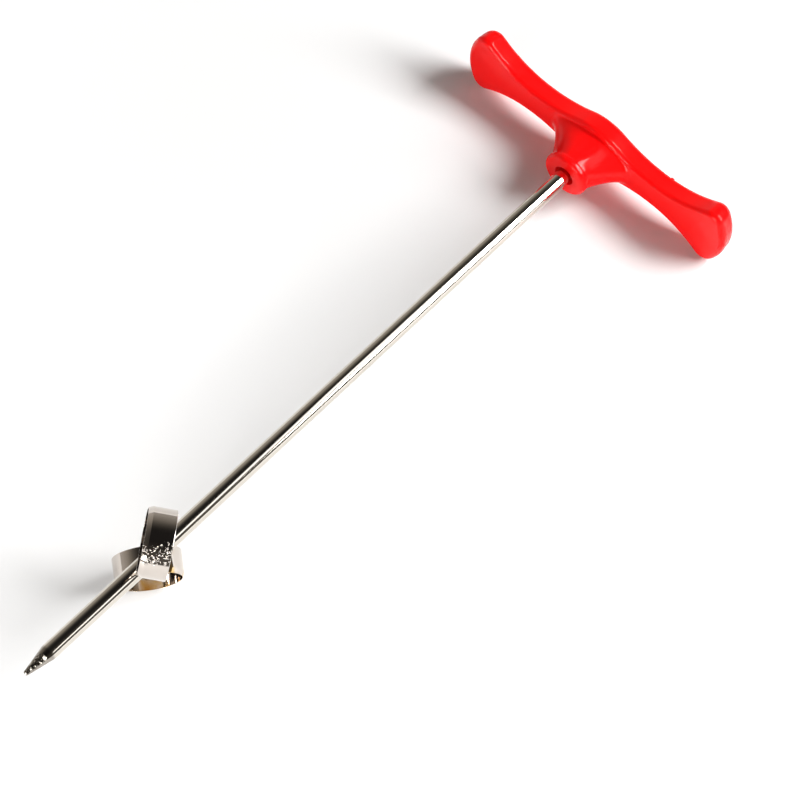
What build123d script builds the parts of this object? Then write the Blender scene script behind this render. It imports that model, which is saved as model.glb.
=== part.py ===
from build123d import *
from math import asin, atan2, cos, degrees, radians, sin, sqrt
import os

# Hand turned spiral cutter for potatoes, cucumbers and carrots: a plated steel spike with two ring
# blades brazed to opposite sides of it, and a moulded T handle that pushes and turns it.
# Lengths are in mm. Every piece is first drawn in the tool's own frame: the spike's axis is X with
# its point at x = 0, and the handle bar lies along Y. The whole tool is then laid down as it rests
# on a table, on both ends of the bar and on the lower ring blade.

# ---- spike: bright drawn steel rod, ground to a point
spike_diameter = 4.0
visible_length = 178.4        # from the point to the mouth of the handle's boss
point_length = 7.0
point_end_diameter = 1.1      # the point is left slightly blunt
point_end_rounding = 0.3
shoulder_rounding = 3.0       # blends the ground cone into the rod
tang_length = 9.0             # flatted rear end that the handle turns
tang_thickness = 3.0
spike_end_chamfer = 0.3

# ---- ring blades: plated steel strip bent into rings, set at opposite hands
blade_station = 38.4          # from the point to the middle of both rings
ring_bore = 14.6
strip_width = 6.4
strip_thickness = 0.6
bevel_width = 1.1             # ground on the outside of the leading rim
cutting_edge_thickness = 0.15
trailing_edge_chamfer = 0.15
ring_lead_angle = 36.5        # between the ring's own plane and the spike's axis
blade_roll = 11.2             # turn of the pair of rings about the spike, away from the bar's plane
braze_gap = 0.05              # capillary gap that the braze fills
braze_radius = 1.9            # reach of the bead from the middle of the joint
core_span = 12.0              # length of rod and ring surface that shapes the bead

# ---- handle: one glossy moulding, a dog bone bar with a flared boss
grip_length = 81.6            # over the crowned ends
grip_end_radius = 16.0        # of the crown at each end
grip_depth = 5.8              # along the spike's axis
grip_centre_height = 15.6
grip_waist_height = 8.1
grip_waist_station = 18.6     # from the middle of the bar to its narrowest place
grip_waist_radius = 34.0      # on the side towards the middle
grip_end_height = 18.9
grip_corner_radius = 3.2
grip_front_chamfer = 0.6
grip_back_rounding = 1.5
boss_diameter = 12.3
boss_length = 10.7
boss_land = 1.6               # straight collar before the boss flares
boss_rim_rounding = 0.9
boss_root_width = 23.6        # along the bar
boss_root_height = 11.6       # across the bar
boss_flare_power = 1.35
boss_flare_steps = 4          # sections of the flare beyond its first
boss_sink = 1.5               # how far the flare runs on inside the bar
mouth_diameter = 5.8
mouth_depth = 3.0
socket_clearance = 0.05       # each side, between the spike and its socket
socket_floor = 2.0            # plastic left behind the spike
gate_diameter = 1.0           # stub of the moulding gate, trimmed short
gate_height = 0.35
gate_station = 20.7           # along the bar from its middle, on its upper back edge

os.makedirs("parts", exist_ok=True)

spike_radius = spike_diameter / 2
bar_front = visible_length + boss_length
bar_back = bar_front + grip_depth
spike_end = bar_back - socket_floor
tang_start = spike_end - tang_length
ring_inner_radius = ring_bore / 2
ring_outer_radius = ring_inner_radius + strip_thickness
ring_offset = spike_radius + braze_gap + ring_outer_radius

# ---- spike
# Revolved half outline: blunt tip, ground cone, straight rod, chamfered rear end.
tip_radius = point_end_diameter / 2
with BuildSketch(Plane.XZ) as spike_outline:
    with BuildLine():
        Polyline(
            (0, 0), (0, tip_radius), (point_length, spike_radius),
            (spike_end - spike_end_chamfer, spike_radius),
            (spike_end, spike_radius - spike_end_chamfer), (spike_end, 0), close=True,
        )
    make_face()
    rim = spike_outline.vertices().filter_by(lambda v: abs(v.X) < 1e-6 and v.Z > 1e-6)
    fillet(rim, point_end_rounding)
    shoulder = spike_outline.vertices().filter_by(lambda v: abs(v.X - point_length) < 1e-6)
    fillet(shoulder, shoulder_rounding)
spike = revolve(spike_outline.sketch, Axis.X)
# Two flats on the rear end stop the rod from turning in the plastic.
for side in (1, -1):
    flat = Box(tang_length, spike_diameter, spike_diameter, align=(Align.MIN, Align.CENTER, Align.MIN))
    spike -= Rot(90 - 90 * side, 0, 0) * Pos(tang_start, 0, tang_thickness / 2) * flat

# ---- ring blade
# Section of the strip, revolved about X. The leading rim, at -X, is ground from the outside.
half_width = strip_width / 2
with BuildSketch(Plane.XZ) as strip_section:
    with BuildLine():
        Polyline(
            (-half_width, ring_inner_radius),
            (half_width, ring_inner_radius),
            (half_width, ring_outer_radius),
            (-half_width + bevel_width, ring_outer_radius),
            (-half_width, ring_inner_radius + cutting_edge_thickness),
            close=True,
        )
    make_face()
    chamfer(strip_section.vertices().group_by(Axis.X)[-1], trailing_edge_chamfer)
ring = revolve(strip_section.sketch, Axis.X)
# The ring's axis is swung off the spike's axis by the lead angle and the ring is set on the rod.
swing = ring_lead_angle - 90
seat = Rot(blade_roll, 0, 0) * Pos(blade_station, 0, ring_offset) * Rot(0, 0, swing)
ring_upper = seat * ring
opposite = Rot(180, 0, 0)
ring_lower = opposite * ring_upper

# ---- braze
# A bead round the place where the strip lies on the rod, cut to the surfaces of both.
rod_core = Pos(blade_station, 0, 0) * Rot(0, 90, 0) * Cylinder(spike_radius, core_span)
ring_core = seat * Rot(0, 90, 0) * Cylinder(ring_outer_radius, core_span)
joint_middle = Rot(blade_roll, 0, 0) * Pos(blade_station, 0, spike_radius + braze_gap / 2)
braze_upper = joint_middle * Sphere(braze_radius) - rod_core - ring_core
braze_lower = opposite * braze_upper

# ---- handle
# Front view of the bar, a quarter drawn and mirrored twice. From the middle outwards it has a
# bulge, a waist, a flare, a round corner and half of the crowned end, each tangent to the next.
end_half = grip_end_height / 2
waist_half = grip_waist_height / 2
half_length = grip_length / 2
waist_drop = (grip_centre_height - grip_waist_height) / 2
bulge_radius = (grip_waist_station**2 + waist_drop**2) / (2 * waist_drop) - grip_waist_radius
bulge_centre = grip_centre_height / 2 - bulge_radius
bulge_angle = degrees(asin(grip_waist_station / (bulge_radius + grip_waist_radius)))
corner_rise = end_half - grip_corner_radius
corner_out = sqrt((grip_end_radius - grip_corner_radius) ** 2 - corner_rise**2)
crown_centre = half_length - grip_end_radius
crown_angle = degrees(atan2(corner_rise, corner_out))
flare_run = crown_centre + corner_out - grip_waist_station
flare_rise = corner_rise - waist_half
flare_radius = (flare_run**2 + flare_rise**2 - grip_corner_radius**2) / (
    2 * (flare_rise + grip_corner_radius)
)
flare_angle = degrees(atan2(flare_run, flare_radius - flare_rise))
front_view = Plane(origin=(bar_front, 0, 0), x_dir=(0, 1, 0), z_dir=(1, 0, 0))
with BuildSketch(front_view) as bar_outline:
    with BuildLine():
        CenterArc((0, bulge_centre), bulge_radius, 90 - bulge_angle, bulge_angle)
        waist = (grip_waist_station, waist_half)
        JernArc(waist, (-1, 0), grip_waist_radius, -bulge_angle)
        flare = JernArc(waist, (1, 0), flare_radius, flare_angle)
        corner_sweep = 90 + flare_angle - crown_angle
        JernArc(flare @ 1, flare % 1, grip_corner_radius, -corner_sweep)
        CenterArc((crown_centre, 0), grip_end_radius, 0, crown_angle)
        mirror(about=Plane.YZ)
        mirror(about=Plane.XZ)
    make_face()
bar = extrude(bar_outline.sketch, grip_depth)
front_edges = bar.faces().sort_by(Axis.X)[0].edges()
bar = chamfer(front_edges, grip_front_chamfer)
back_edges = bar.faces().sort_by(Axis.X)[-1].edges()
bar = fillet(back_edges, grip_back_rounding)

# The boss starts as a round collar and flares into the front of the bar.
flare_sections = []
for step in range(boss_flare_steps + 1):
    share = step / boss_flare_steps
    station = visible_length + boss_land + share * (boss_length - boss_land)
    width = boss_diameter + (boss_root_width - boss_diameter) * share**boss_flare_power
    height = boss_diameter + (boss_root_height - boss_diameter) * share
    at = Plane(origin=(station, 0, 0), x_dir=(0, 1, 0), z_dir=(1, 0, 0))
    flare_sections.append(at * Ellipse(width / 2, height / 2))
root = flare_sections[-1]
collar_plane = Plane(origin=(visible_length, 0, 0), x_dir=(0, 1, 0), z_dir=(1, 0, 0))
collar = extrude(collar_plane * Circle(boss_diameter / 2), boss_land)
boss = collar + loft(flare_sections) + extrude(root, boss_sink)
handle = bar + boss
rim_edges = handle.edges().filter_by(GeomType.CIRCLE).sort_by(Axis.X)[0]
handle = fillet(rim_edges, boss_rim_rounding)

# Stub of the gate on the rounded upper back edge of the bar.
gate_foot = bar_back - grip_back_rounding / 2
gate_top = grip_waist_height / 2 + gate_height
handle += Pos(gate_foot, -gate_station, gate_top / 2) * Cylinder(gate_diameter / 2, gate_top)

# Blind socket for the spike: a wide mouth, a round bore and a flatted end that fits the tang.
bore_radius = spike_radius + socket_clearance
along_x = Rot(0, 90, 0)
bore_span = spike_end - visible_length
from_start = (Align.CENTER, Align.CENTER, Align.MIN)
bore = Pos(visible_length, 0, 0) * along_x * Cylinder(bore_radius, bore_span, align=from_start)
for side in (1, -1):
    land = Box(tang_length, spike_diameter, spike_diameter, align=(Align.MIN, Align.CENTER, Align.MIN))
    lift = tang_thickness / 2 + socket_clearance
    bore -= Rot(90 - 90 * side, 0, 0) * Pos(tang_start + socket_clearance, 0, lift) * land
mouth = Pos(visible_length, 0, 0) * along_x * Cylinder(mouth_diameter / 2, mouth_depth, align=from_start)
handle = handle - bore - mouth

# ---- at rest
# The lower ring reaches further below the axis than the ends of the bar, so the point stands up.
# The lean itself changes both reaches a little, so they are worked out in turn.
roll = radians(blade_roll)
lead = radians(ring_lead_angle)
full_width = half_width - bevel_width
bar_rest_station = bar_back - grip_back_rounding
nose_up = 0
for _ in range(4):
    ring_slope = cos(lead) * sin(roll) * cos(nose_up) - sin(lead) * sin(nose_up)
    ring_reach = ring_outer_radius * sqrt(1 - ring_slope**2) + full_width * ring_slope
    ring_depth = ring_offset * cos(roll) * cos(nose_up) + ring_reach
    bar_depth = (end_half - grip_back_rounding) * cos(nose_up) + grip_back_rounding
    nose_up = asin((ring_depth - bar_depth) / (bar_rest_station - blade_station))
rest_height = blade_station * sin(nose_up) + ring_depth
middle = bar_back / 2
lay = Pos(-middle * cos(nose_up), 0, rest_height) * Rot(0, degrees(nose_up), 0)

pieces = {
    "spike": spike,
    "ring_blade_upper": ring_upper,
    "ring_blade_lower": ring_lower,
    "braze_upper": braze_upper,
    "braze_lower": braze_lower,
    "t_handle": handle,
}
for name, piece in pieces.items():
    export_step(lay * piece, "parts/" + name + ".step")
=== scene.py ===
"""Spiral potato cutter: a pointed plated spike with two ring blades and a red T handle.

Lengths are in metres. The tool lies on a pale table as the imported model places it.
"""

import bmesh
import bpy
import numpy as np
from mathutils import Matrix, Vector
from mathutils.geometry import tessellate_polygon


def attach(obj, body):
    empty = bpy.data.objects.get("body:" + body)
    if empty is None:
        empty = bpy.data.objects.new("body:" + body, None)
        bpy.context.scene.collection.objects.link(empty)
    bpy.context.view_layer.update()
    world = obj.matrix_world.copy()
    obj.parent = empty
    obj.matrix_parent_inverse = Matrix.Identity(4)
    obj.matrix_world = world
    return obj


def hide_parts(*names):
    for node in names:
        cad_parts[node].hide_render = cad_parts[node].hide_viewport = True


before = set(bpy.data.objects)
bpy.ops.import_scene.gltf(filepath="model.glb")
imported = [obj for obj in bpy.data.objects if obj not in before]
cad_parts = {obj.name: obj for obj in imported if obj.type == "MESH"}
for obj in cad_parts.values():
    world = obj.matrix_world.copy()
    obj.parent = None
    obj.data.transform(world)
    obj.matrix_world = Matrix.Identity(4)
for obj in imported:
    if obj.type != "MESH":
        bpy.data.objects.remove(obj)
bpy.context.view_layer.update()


# ---- spike
# Bright drawn steel rod, ground to a point at one end and nickel plated. Its other end is moulded
# into the handle. The plating is a mirror with faint marks of drawing along the rod, and the
# ground point is darker and pitted.
mm = 0.001
rod_radius = 2.0 * mm
point_length = 7.0 * mm
blunt_end = 0.55 * mm                # radius of the flat that the grinding leaves
tip_rounding, shoulder_rounding, rear_rounding = 0.3 * mm, 3.0 * mm, 0.3 * mm
straight_margin = 2.0 * mm           # from the shoulder and from the rear end
straight_stations, rod_sides = 40, 96

drawing_marks = (25, 1800, 1800)     # waves per metre, long along the rod
light_nickel, dark_nickel = (0.74, 0.70, 0.64), (0.60, 0.55, 0.48)
ground_steel = (0.36, 0.33, 0.29)
ground_fade = 0.4 * mm               # either side of the shoulder
pits_thin, pits_end = 4.8 * mm, 6.0 * mm    # from the tip
mark_height, pits_to_marks = 1e-6, 420


def core(node, longest):
    """Middle, axis and length of a turned CAD node: the axis is the direction in which its
    distinct vertices spread most or least, and the middle is halfway between its ends along it."""
    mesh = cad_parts[node].data
    points = np.empty(3 * len(mesh.vertices))
    mesh.vertices.foreach_get("co", points)
    points = np.unique(points.reshape(-1, 3).round(7), axis=0)
    centre = points.mean(axis=0)
    spread = np.linalg.svd(points - centre, full_matrices=False)[2]
    axis = spread[0] if longest else spread[2]
    axis = axis * np.sign(axis[0])
    station = (points - centre) @ axis
    middle = centre + axis * (station.min() + station.max()) / 2
    return middle, axis, station.max() - station.min()


def rounded(corners, radii, steps=6):
    """An outline with its corners cut to arcs. Each arc leaves one side at the distance
    radius * tan(half the turn) from the corner and meets the next at the same distance."""
    corners = np.array(corners, float)
    outline = []
    for before, corner, after, radius in zip(
        np.roll(corners, 1, 0), corners, np.roll(corners, -1, 0), radii
    ):
        if radius == 0:
            outline.append(corner[None])
            continue
        back = (before - corner) / np.linalg.norm(before - corner)
        ahead = (after - corner) / np.linalg.norm(after - corner)
        half_turn = (np.pi - np.arccos(np.clip(back @ ahead, -1, 1))) / 2
        bisector = (back + ahead) / np.linalg.norm(back + ahead)
        tangent = (ahead - back) / np.linalg.norm(ahead - back)
        centre = corner + bisector * radius / np.cos(half_turn)
        swing = np.linspace(-half_turn, half_turn, steps + 1)[:, None]
        outline.append(
            centre - radius * np.cos(swing) * bisector + radius * np.sin(swing) * tangent)
    return np.concatenate(outline)


def quads(grid, closed=False):
    """Corner numbers of the quads of a grid of points. The columns always run round and close,
    the rows close too if asked."""
    rows, columns = grid.shape[:2]
    numbers = np.arange(rows * columns).reshape(rows, columns)
    above = np.roll(numbers, -1, axis=0)
    if not closed:
        numbers, above = numbers[:-1], above[:-1]
    beside = np.roll(numbers, -1, axis=1)
    above_beside = np.roll(above, -1, axis=1)
    return np.stack([numbers, beside, above_beside, above], axis=-1).reshape(-1, 4)


def skin(name, shells):
    """A piece from pairs of points and faces, put together in one mesh. Points that coincide,
    as at a pole or where two of the pairs meet, are merged."""
    points, faces, count = [], [], 0
    for shell, corners in shells:
        points.append(shell.reshape(-1, 3))
        faces += (corners + count).tolist()
        count += len(points[-1])
    mesh = bpy.data.meshes.new(name)
    mesh.from_pydata(np.concatenate(points).tolist(), [], faces)
    shape = bmesh.new()
    shape.from_mesh(mesh)
    bmesh.ops.remove_doubles(shape, verts=shape.verts, dist=1e-7)
    bmesh.ops.recalc_face_normals(shape, faces=shape.faces)
    shape.to_mesh(mesh)
    shape.free()
    mesh.shade_smooth()
    piece = bpy.data.objects.new(name, mesh)
    bpy.context.scene.collection.objects.link(piece)
    piece.modifiers.new("flat sides stay flat", "WEIGHTED_NORMAL")
    return piece


def lathe(outline, middle, axis, sides):
    """A turned grid. A point of the outline at (station, radius) goes round the axis:
    place = middle + station * axis + radius * (cos a * side + sin a * rise)."""
    side = np.cross((0, 0, 1), axis)
    side /= np.linalg.norm(side)
    rise = np.cross(axis, side)
    angle = np.linspace(0, 2 * np.pi, sides, endpoint=False)
    ray = np.cos(angle)[:, None] * side + np.sin(angle)[:, None] * rise
    station, radius = outline[:, 0, None, None], outline[:, 1, None, None]
    return middle + station * axis + radius * ray


class Reading:
    """A socket whose value changes from place to place. Arithmetic on it adds Math nodes."""

    def __init__(self, finish, socket):
        self.finish = finish
        self.socket = socket

    def math(self, operation, first, second):
        """Either side may be a reading or a number."""
        return self.finish.add("Math", {"operation": operation}, {0: first, 1: second})

    def __add__(self, other):
        return self.math("ADD", self, other)

    def __rsub__(self, other):
        return self.math("SUBTRACT", other, self)

    def __mul__(self, other):
        return self.math("MULTIPLY", self, other)

    __radd__ = __add__
    __rmul__ = __mul__


class Finish:
    """The shader of a material or a world, and the nodes that vary it from place to place."""

    def __init__(self, owner, shader="Principled BSDF", **sockets):
        owner.use_nodes = True
        self.owner = owner
        self.tree = owner.node_tree
        self.shader = self.tree.nodes[shader]
        for socket, value in sockets.items():
            self.shader.inputs[socket.replace("_", " ")].default_value = value

    def add(self, kind, settings=None, values=None, output=0):
        """A new node. Its settings come first, then the values or links of its sockets."""
        node = self.tree.nodes.new("ShaderNode" + kind)
        settings = dict(settings or {})
        stops = settings.pop("stops", [])
        for name, value in settings.items():
            setattr(node, name, value)
        for number, (position, colour) in enumerate(stops):
            places = node.color_ramp.elements
            stop = places[number] if number < len(places) else places.new(position)
            stop.position = position
            stop.color = (*colour, 1)
        for socket, value in (values or {}).items():
            if isinstance(value, Reading):
                self.tree.links.new(value.socket, node.inputs[socket])
            else:
                node.inputs[socket].default_value = value
        return Reading(self, node.outputs[output])

    def feed(self, socket, reading):
        """Lets a reading drive a socket of the shader."""
        self.tree.links.new(reading.socket, self.shader.inputs[socket])

    def along(self, direction, space="Object"):
        """Place along "X", "Y" or "Z" in metres. In the Generated space of a world it is that
        share of the direction that is looked in."""
        place = self.add("TexCoord", output=space)
        return self.add("SeparateXYZ", None, {0: place}, output=direction)

    def noise(self, waves, detail=3.0, turn=(0, 0, 0)):
        """Cloudy noise from 0 to 1 with that many waves per metre, alike or along X, Y and Z."""
        scale = np.full(3, waves, float)
        place = self.add("TexCoord", output="Object")
        place = self.add("Mapping", None, {"Vector": place, "Rotation": turn, "Scale": scale})
        return self.add("TexNoise", None, {"Vector": place, "Scale": 1.0, "Detail": detail})

    def step(self, reading, low, high):
        """0 where the reading is under low, 1 where it is over high, and smooth between."""
        values = {"Value": reading, "From Min": low, "From Max": high}
        return self.add("MapRange", {"interpolation_type": "SMOOTHSTEP"}, values)

    def blend(self, share, first, second):
        """The first colour where share is 0, the second where it is 1."""
        first, second = [
            colour if isinstance(colour, Reading) else (*colour, 1) for colour in (first, second)]
        values = {0: share, 6: first, 7: second}
        return self.add("Mix", {"data_type": "RGBA"}, values, output=2)

    def bump(self, height, distance):
        """Marks in the surface: a height of 1 stands that distance proud."""
        values = {"Height": height, "Distance": distance}
        self.feed("Normal", self.add("Bump", None, values))


rod_middle, rod_axis, rod_length = core("spike", longest=True)
tip = rod_middle - rod_axis * rod_length / 2
front, back = -rod_length / 2, rod_length / 2
shoulder = front + point_length
outline = rounded(
    [(front, 0), (front, blunt_end), (shoulder, rod_radius), (back, rod_radius), (back, 0)],
    [0, tip_rounding, shoulder_rounding, rear_rounding, 0],
)
straight = np.linspace(shoulder + straight_margin, back - straight_margin, straight_stations)
ahead = outline[outline[:, 0] < straight[0]]
behind = outline[outline[:, 0] > straight[-1]]
rod = np.stack([straight, np.full_like(straight, rod_radius)], axis=1)
grid = lathe(np.concatenate([ahead, rod, behind]), rod_middle, rod_axis, rod_sides)
spike = skin("polished_spike", [(grid, quads(grid))])

plated = Finish(bpy.data.materials.new("bright nickel plate"), Metallic=1.0)
rod_turn = (0, np.arcsin(-rod_axis[2]), 0)
drawn = plated.noise(drawing_marks, detail=2.0, turn=rod_turn)
cloud = plated.noise(45)
grit = plated.noise(1500, detail=2.0)
along_tool = plated.along("X")
shoulder_x = tip[0] + point_length
ground = 1 - plated.step(along_tool, shoulder_x - ground_fade, shoulder_x + ground_fade)
pitted = 1 - plated.step(along_tool, tip[0] + pits_thin, tip[0] + pits_end)
nickel = plated.blend(cloud, light_nickel, dark_nickel)
plated.feed("Base Color", plated.blend(ground, nickel, ground_steel))
plated.feed("Roughness", 0.04 + 0.05 * drawn + 0.03 * cloud)
plated.bump(drawn + pitted * grit * pits_to_marks, mark_height)
spike.data.materials.append(plated.owner)
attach(spike, "root")
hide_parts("spike")

# ---- ring blades
# Two rings bent from thin steel strip and plated, leaning to opposite sides of the spike. The
# leading rim of each is ground to an edge from the outside. Bending has dented the strip and
# cracked the plating of the upper ring. Amber patches on part of the lower one are a painted
# warm reflection.
strip_thickness = 0.6 * mm
ring_bore_radius = 7.3 * mm
bevel_width = 1.1 * mm
edge_thickness = 0.15 * mm
edge_rounding, trailing_rounding, bevel_rounding = 0.04 * mm, 0.15 * mm, 0.2 * mm
ring_sides = 240

# The third colour is the amber of a painted warm reflection on the lower ring.
light_strip, dark_strip, warm_reflection_colour = (0.70, 0.65, 0.60), (0.57, 0.51, 0.46), (0.58, 0.37, 0.13)
crack_depth, dents_to_cracks = 11e-5, 0.16
crack_levels, warm_reflection_levels = (0.54, 0.66), (0.44, 0.60)    # of the noise, from bare to full
cracks_from, cracks_to = (31.6 * mm, 32.2 * mm), (34.1 * mm, 35.2 * mm)   # above the table
cracks_side = (-58.5 * mm, -57.5 * mm)       # along X: they stay on the side of the point
# Where the painted warm reflection lies: low on the lower ring, and on one side of it.
warm_reflection_below, warm_reflection_side = (15 * mm, 19 * mm), (0.0, 4 * mm)     # above the table, and along Y

blade = Finish(bpy.data.materials.new("plated blade strip"), Metallic=1.0)
dents = blade.noise(260, detail=2.0)
cracks = blade.step(blade.noise(1500, detail=2.5), *crack_levels)
cloud = blade.noise(120)
height = blade.along("Z")
near_point = 1 - blade.step(blade.along("X"), *cracks_side)
cracked = blade.step(height, *cracks_from) * (1 - blade.step(height, *cracks_to)) * near_point
# Painted warm reflection: amber patches in that zone, blended over the nickel.
warm_reflection_zone = (1 - blade.step(height, *warm_reflection_below)) * (1 - blade.step(blade.along("Y"), *warm_reflection_side))
painted_warm_reflection = blade.step(blade.noise(150), *warm_reflection_levels) * warm_reflection_zone
nickel = blade.blend(cloud, light_strip, dark_strip)
blade.feed("Base Color", blade.blend(painted_warm_reflection, nickel, warm_reflection_colour))
blade.feed("Roughness", 0.04 + 0.06 * cloud)
blade.bump(dents_to_cracks * dents + cracked * cracks, crack_depth)

for name in ("ring_blade_upper", "ring_blade_lower"):
    ring_middle, ring_axis, strip_width = core(name, longest=False)
    lead, trail = -strip_width / 2, strip_width / 2
    inside, outside = ring_bore_radius, ring_bore_radius + strip_thickness
    outline = rounded(
        [(lead, inside), (trail, inside), (trail, outside), (lead + bevel_width, outside),
         (lead, inside + edge_thickness)],
        [edge_rounding, trailing_rounding, trailing_rounding, bevel_rounding, edge_rounding],
    )
    grid = lathe(outline, ring_middle, ring_axis, ring_sides)
    ring = skin("bright_" + name, [(grid, quads(grid, closed=True))])
    ring.data.materials.append(blade.owner)
    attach(ring, "root")
    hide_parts(name)

# ---- braze
# A bead of filler where each ring touches the spike. It has wetted both, set satin rather than
# bright, and is plated over with the rest. The CAD beads stay, and only get their finish here.
light_braze, dark_braze = (0.78, 0.74, 0.68), (0.58, 0.53, 0.46)
grain_depth = 6e-5
filler = Finish(bpy.data.materials.new("plated braze"), Metallic=1.0)
grain = filler.noise(900)
filler.feed("Base Color", filler.blend(grain, light_braze, dark_braze))
filler.feed("Roughness", 0.20 + 0.2 * grain)
filler.bump(grain, grain_depth)
for name in ("braze_upper", "braze_lower"):
    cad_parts[name].data.materials.clear()
    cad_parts[name].data.materials.append(filler.owner)

# ---- handle
# One glossy moulding: a dog bone bar, and a boss that flares from a round collar into its front.
# The bar tapers slightly towards its back, every edge is rounded, and the stub of the moulding
# gate stands on its upper back edge.
boss_front, bar_front, bar_back = 178.4 * mm, 189.1 * mm, 194.9 * mm    # from the spike's tip
half_length, end_radius, corner_radius = 40.95 * mm, 16.0 * mm, 3.4 * mm
centre_half, waist_half, end_half = 7.8 * mm, 4.05 * mm, 9.45 * mm
waist_station, waist_radius = 18.6 * mm, 34.0 * mm
front_rounding, back_rounding = 1.1 * mm, 1.6 * mm
end_front_rounding, end_back_rounding = 1.6 * mm, 2.5 * mm
end_start, end_run = 0.80, 0.19      # shares of half_length where those of the ends take over
front_swell, back_taper = 0.15 * mm, 0.5 * mm
section_steps = 12

bore, mouth_radius, mouth_depth, socket_floor = 2.05 * mm, 2.7 * mm, 3.0 * mm, 2.0 * mm
mouth_corner_rounding, mouth_rim_rounding = 0.3 * mm, 0.2 * mm
collar_radius, collar_length = 6.15 * mm, 1.6 * mm
rim_rounding, collar_foot_rounding = 0.9 * mm, 0.25 * mm
neck = 0.25 * mm                     # the flare starts that much inside the collar
root_width, root_height, flare_power = 11.8 * mm, 5.8 * mm, 1.35
boss_sides, flare_stations = 160, 24
skirt_start, skirt_stations = 14, 12     # the skirt leaves the flare at that station
skirt_share, least_slope = 0.8, 0.3      # of the flat front beside the boss that it may take
least_skirt, most_skirt = 0.02 * mm, 2.0 * mm

gate_station, gate_radius, gate_height = 20.7 * mm, 0.5 * mm, 0.35 * mm
gate_rounding, gate_sides = 0.15 * mm, 24
light_red, dark_red = (0.95, 0.006, 0.006), (0.90, 0.004, 0.005)
depth_of_red, depth_scale = (1.0, 0.04, 0.03), 6 * mm      # how far light wanders inside
peel_height = 5e-6

across = np.array([0.0, 1.0, 0.0])
rise = np.cross(rod_axis, across)


def in_room(station, y, z):
    """Points of the tool in the room: tip + station * axis + y * across + z * rise."""
    station, y, z = np.broadcast_arrays(station, y, z)
    return tip + station[..., None] * rod_axis + y[..., None] * across + z[..., None] * rise


def bar_outline():
    """Front view of the bar, anticlockwise from the middle of one end, as points and the
    directions outwards. Each point is centre + radius * (cos a, sin a), with a negative radius
    where the outline is hollow. A quarter has half the crowned end, a corner, a flare, a waist
    and half the bulge, each tangent to the next. The other quarters are its mirror images."""
    drop = centre_half - waist_half
    bulge_radius = (waist_station**2 + drop**2) / (2 * drop) - waist_radius
    bulge_angle = np.degrees(np.arcsin(waist_station / (bulge_radius + waist_radius)))
    crown_centre = half_length - end_radius
    corner_rise = end_half - corner_radius
    corner_out = np.sqrt((end_radius - corner_radius) ** 2 - corner_rise**2)
    crown_angle = np.degrees(np.arctan2(corner_rise, corner_out))
    run = crown_centre + corner_out - waist_station
    lift = corner_rise - waist_half
    flare_radius = (run**2 + lift**2 - corner_radius**2) / (2 * (lift + corner_radius))
    flare_angle = np.degrees(np.arctan2(run, flare_radius - lift))
    # Each arc: y and z of its centre, radius, first and last angle in degrees, and steps.
    arcs = [
        (crown_centre, 0, end_radius, 0, crown_angle, 10),
        (crown_centre + corner_out, corner_rise, corner_radius, crown_angle, 90 + flare_angle, 20),
        (waist_station, waist_half + flare_radius, -flare_radius, 90 + flare_angle, 90, 24),
        (waist_station, waist_half + waist_radius, -waist_radius, 90, 90 - bulge_angle, 24),
        (0, centre_half - bulge_radius, bulge_radius, 90 - bulge_angle, 90, 16),
    ]
    points, outwards = [], []
    for y, z, radius, start, stop, steps in arcs:
        angle = np.radians(np.linspace(start, stop, steps, endpoint=False))
        way = np.stack([np.cos(angle), np.sin(angle)], axis=1)
        points.append((y, z) + radius * way)
        outwards.append(way)
    both = []
    for quarter, top in ((points, (0, centre_half)), (outwards, (0, 1))):
        quarter = np.concatenate(quarter + [[top]])
        upper = np.concatenate([quarter, quarter[-2::-1] * (-1, 1)])
        both.append(np.concatenate([upper, upper[-2:0:-1] * (1, -1)]))
    return both


def filled(loops):
    """Triangles that fill the flat region inside the first loop of points and outside the others.
    Its points are seen from the front: (point - tip) * across and (point - tip) * rise."""
    front_view = np.stack([across, rise, 0 * rise], axis=1)
    views = [[Vector(point) for point in (loop - tip) @ front_view] for loop in loops]
    return np.array(tessellate_polygon(views))


# The side of the bar: its outline drawn in by the inset of a section that has both roundings.
edge, outwards = bar_outline()
corners = [
    (bar_front, waist_half), (bar_front, -front_swell),
    (bar_back, back_taper), (bar_back, waist_half)]
slim = rounded(corners, [0, front_rounding, back_rounding, 0], section_steps)[1:-1, None]
full = rounded(corners, [0, end_front_rounding, end_back_rounding, 0], section_steps)[1:-1, None]
far = np.clip((np.abs(edge[:, 0]) / half_length - end_start) / end_run, 0, 1)
far = (far**2 * (3 - 2 * far))[:, None]
section = slim + (full - slim) * far
side = edge - section[..., 1:] * outwards
side_grid = in_room(section[..., 0], side[..., 0], side[..., 1])

# The boss from the inside out: socket, mouth, rim and collar are turned, and the flare goes from
# a circle to an ellipse.
angle = np.linspace(0, 2 * np.pi, boss_sides, endpoint=False)
around, upward = np.cos(angle), np.sin(angle)
socket_end, mouth_end = bar_back - socket_floor, boss_front + mouth_depth
collar_end = boss_front + collar_length
neck_end, neck_radius = collar_end + neck, collar_radius - neck
turned_part = rounded(
    [(socket_end, 0), (socket_end, bore), (mouth_end, bore), (mouth_end, mouth_radius),
     (boss_front, mouth_radius), (boss_front, collar_radius), (collar_end, collar_radius),
     (neck_end, neck_radius)],
    [0, 0, 0, mouth_corner_rounding, mouth_rim_rounding, rim_rounding, collar_foot_rounding, 0],
)
turned_station, turned_radius = turned_part[:, :1], turned_part[:, 1:]
turned_grid = in_room(turned_station, turned_radius * around, turned_radius * upward)
share = np.linspace(0, 1, flare_stations)[1:, None]
flare = np.stack(np.broadcast_arrays(
    neck_end + share * (bar_front - neck_end),
    (neck_radius + (root_width - neck_radius) * share**flare_power) * around,
    (neck_radius + (root_height - neck_radius) * share) * upward,
), axis=-1)

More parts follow.
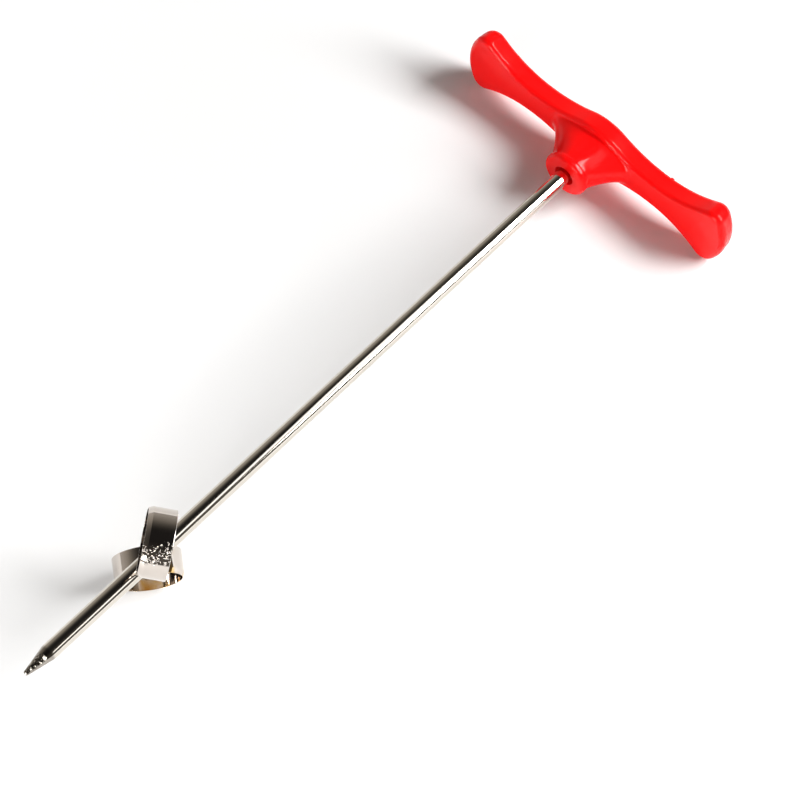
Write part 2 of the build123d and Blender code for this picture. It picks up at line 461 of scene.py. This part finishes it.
# A skirt leads the foot of the flare into the flat front of the bar. It is the bend
# (1 - t)^2 * start + 2 t (1 - t) * root + t^2 * foot, and its foot stays inside the bar's edge.
root = flare[-1]
front_edge = side[0]
quarter = front_edge[: len(front_edge) // 4 + 1][::-1]
room = np.interp(np.abs(root[:, 1]), *quarter.T) - np.abs(root[:, 2])
outward = np.stack([0 * angle, around / root_width, upward / root_height], axis=-1)
outward /= np.linalg.norm(outward, axis=-1, keepdims=True)
slope = np.maximum(np.abs(outward[:, 2]), least_slope)
foot = root + np.clip(skirt_share * room / slope, least_skirt, most_skirt)[:, None] * outward
bend = np.linspace(0, 1, skirt_stations)[1:, None, None]
skirt = (1 - bend) ** 2 * flare[skirt_start] + 2 * bend * (1 - bend) * root + bend**2 * foot
boss = np.concatenate([flare[: skirt_start + 1], skirt])
boss_grid = np.concatenate([turned_grid, in_room(boss[..., 0], boss[..., 1], boss[..., 2])])

# The stub of the gate is turned about an axis that leans back at 45 degrees.
stub_middle = in_room(
    bar_back - back_rounding, -gate_station, waist_half - back_taper - back_rounding)
stub_axis = (rod_axis + rise) / np.sqrt(2)
stub_top = back_rounding + gate_height
stub = rounded(
    [(0, 0), (0, gate_radius), (stub_top, gate_radius), (stub_top, 0)], [0, 0, gate_rounding, 0])
stub_grid = lathe(stub, stub_middle, stub_axis, gate_sides)

# The flat front lies between the edge of the bar and the foot of the boss.
handle = skin("red_moulding", [
    (side_grid, quads(side_grid)),
    (boss_grid, quads(boss_grid)),
    (np.concatenate([side_grid[0], boss_grid[-1]]), filled([side_grid[0], boss_grid[-1]])),
    (side_grid[-1], filled([side_grid[-1]])),
    (stub_grid, quads(stub_grid)),
])

red = Finish(
    bpy.data.materials.new("glossy red moulding"), Specular_IOR_Level=0.16,
    Subsurface_Weight=0.4, Subsurface_Radius=depth_of_red, Subsurface_Scale=depth_scale)
flow = red.noise(40)
peel = red.noise(700, detail=1.0)
red.feed("Base Color", red.blend(flow, light_red, dark_red))
red.feed("Roughness", 0.06 + 0.08 * flow)
red.bump(peel, peel_height)
handle.data.materials.append(red.owner)
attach(handle, "root")
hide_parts("t_handle")

# ---- table
# A plain pale sheet with a dull even surface, which the tool lies on. It keeps the tool's shadow,
# and fades to white away from the tool, both in direct view and in reflections.
table_half = 2.0
table_grey, white_glow = (0.83, 0.83, 0.83, 1), (0.42, 0.42, 0.42)
shadow_middle, shadow_near, shadow_far = (0.09, 0.0, 0.0), 0.02, 0.30
table_mesh = bpy.data.meshes.new("table")
corners = np.array([(-1, -1, 0), (1, -1, 0), (1, 1, 0), (-1, 1, 0)]) * table_half
table_mesh.from_pydata(corners.tolist(), [], [(0, 1, 2, 3)])
table = bpy.data.objects.new("table", table_mesh)
bpy.context.scene.collection.objects.link(table)
pale = Finish(
    bpy.data.materials.new("pale table"), Base_Color=table_grey, Roughness=0.6,
    Specular_IOR_Level=0.2, Emission_Strength=1.0)
camera_ray, mirror_ray, clear_ray = [
    pale.add("LightPath", output=ray)
    for ray in ("Is Camera Ray", "Is Glossy Ray", "Is Transmission Ray")]
place = pale.add("TexCoord", output="Object")
away = pale.add("VectorMath", {"operation": "DISTANCE"}, {0: place, 1: shadow_middle}, output=1)
glow = (camera_ray + mirror_ray + clear_ray) * pale.step(away, shadow_near, shadow_far)
pale.feed("Emission Color", pale.blend(glow, (0.0, 0.0, 0.0), white_glow))
table_mesh.materials.append(pale.owner)

# ---- light
# A studio with pale low walls and a dark ceiling, for the plating to mirror, dimmer on the side
# of the lamps. A large softbox is the key, a faint strip beside it spills along the rod, and a
# small softbox fills from the end where the point is.
wall_stops = [
    (0.0, (0.56, 0.53, 0.49)),
    (0.5, (0.34, 0.31, 0.27)),
    (0.72, (0.18, 0.163, 0.14)),
    (0.92, (0.06, 0.056, 0.052)),
]
dim_strength, dim_side, full_side = 0.27, 0.1, 0.7
lamp_aim, fill_aim = (0.02, 0.0, 0.0), (0.05, 0.0, 0.0)
key_roll = np.radians(-45)

studio = bpy.data.worlds.new("room")
bpy.context.scene.world = studio
walls = Finish(studio, "Background")
walls.feed("Color", walls.add(
    "ValToRGB", {"stops": wall_stops}, {0: walls.along("Z", "Generated")}))
walls.feed("Strength", walls.add("MapRange", None, {
    "Value": walls.along("Y", "Generated"), "From Min": dim_side, "From Max": full_side,
    "To Min": dim_strength, "To Max": 1.0}))


def facing(place, aim, roll):
    """The matrix of a lamp or camera at that place: it looks along its -Z at aim, and is then
    rolled about that line."""
    turn = (Vector(aim) - Vector(place)).to_track_quat("-Z", "Y").to_matrix()
    turn = turn @ Matrix.Rotation(roll, 3, "Z")
    return Matrix.Translation(place) @ turn.to_4x4()


def softbox(name, place, aim, width, height, watts, roll=0.0):
    """A rectangular lamp with a soft even face, turned to face aim."""
    light = bpy.data.lights.new(name, "AREA")
    light.shape = "RECTANGLE"
    light.size = width
    light.size_y = height
    light.energy = watts
    lamp = bpy.data.objects.new(name, light)
    bpy.context.scene.collection.objects.link(lamp)
    lamp.matrix_world = facing(place, aim, roll)


softbox("key softbox", (0.47, -0.48, 0.49), lamp_aim, 0.28, 0.62, 12.0, key_roll)
softbox("key spill", (0.28, -0.477, 0.661), lamp_aim, 0.115, 0.95, 0.6, key_roll)
softbox("fill softbox", (-0.8, -0.15, 0.2), fill_aim, 0.35, 0.2, 4.4)

# ---- camera
# It stands above the tool on the side of the point and looks down on it with a long lens. A slight
# roll lays the spike from the lower left to the upper right of a square picture.
camera_place = (-0.16915, -0.16534, 0.50350)
camera_aim = (0.01296, -0.00857, 0.0)
camera_roll = np.radians(2.06)
focal_length, sensor_width = 106.03, 36.0    # in mm, as the camera takes them
camera = bpy.data.objects.new("camera", bpy.data.cameras.new("camera"))
bpy.context.scene.collection.objects.link(camera)
camera.data.lens = focal_length
camera.data.sensor_width = sensor_width
camera.matrix_world = facing(camera_place, camera_aim, camera_roll)
bpy.context.scene.camera = camera
bpy.context.scene.view_settings.view_transform = "Standard"
